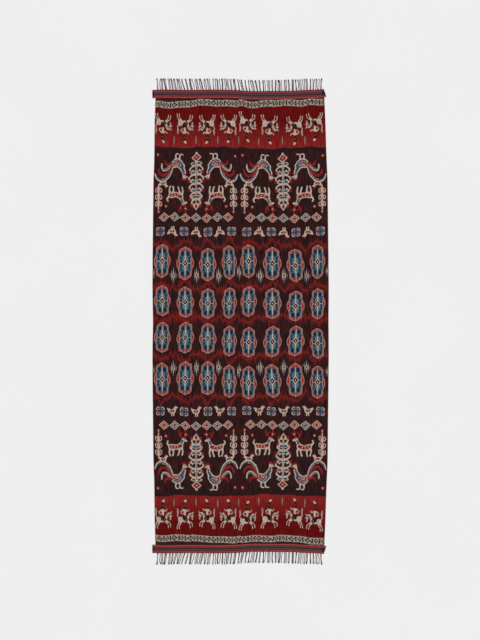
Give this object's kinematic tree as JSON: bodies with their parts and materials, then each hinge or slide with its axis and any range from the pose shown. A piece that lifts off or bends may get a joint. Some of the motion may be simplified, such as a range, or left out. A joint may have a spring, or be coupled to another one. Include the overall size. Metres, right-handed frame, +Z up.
{
  "type": "ikat woven cloth",
  "caption": "Long warp-ikat mantle cloth of two seamed panels, with a woven band and twisted fringe across each end, lying flat.",
  "frame": {"origin": "middle of the cloth, on the surface it lies on", "axes": "+X across the cloth to its right, +Y along the warp towards the top end, +Z up out of the patterned face"},
  "size_m": [1.023, 2.8292, 0.0074],
  "materials": {
    "ikat_cotton": "matte handspun cotton, warp-faced",
    "band_cotton": "matte ribbed cotton",
    "fringe_yarn": "matte twisted cotton yarn"
  },
  "bodies": {
    "root": {"panel_left": "ikat_cotton", "panel_right": "ikat_cotton", "band_top": "band_cotton", "band_bottom": "band_cotton", "fringe_top": "fringe_yarn", "fringe_bottom": "fringe_yarn"}
  },
  "joints": []
}
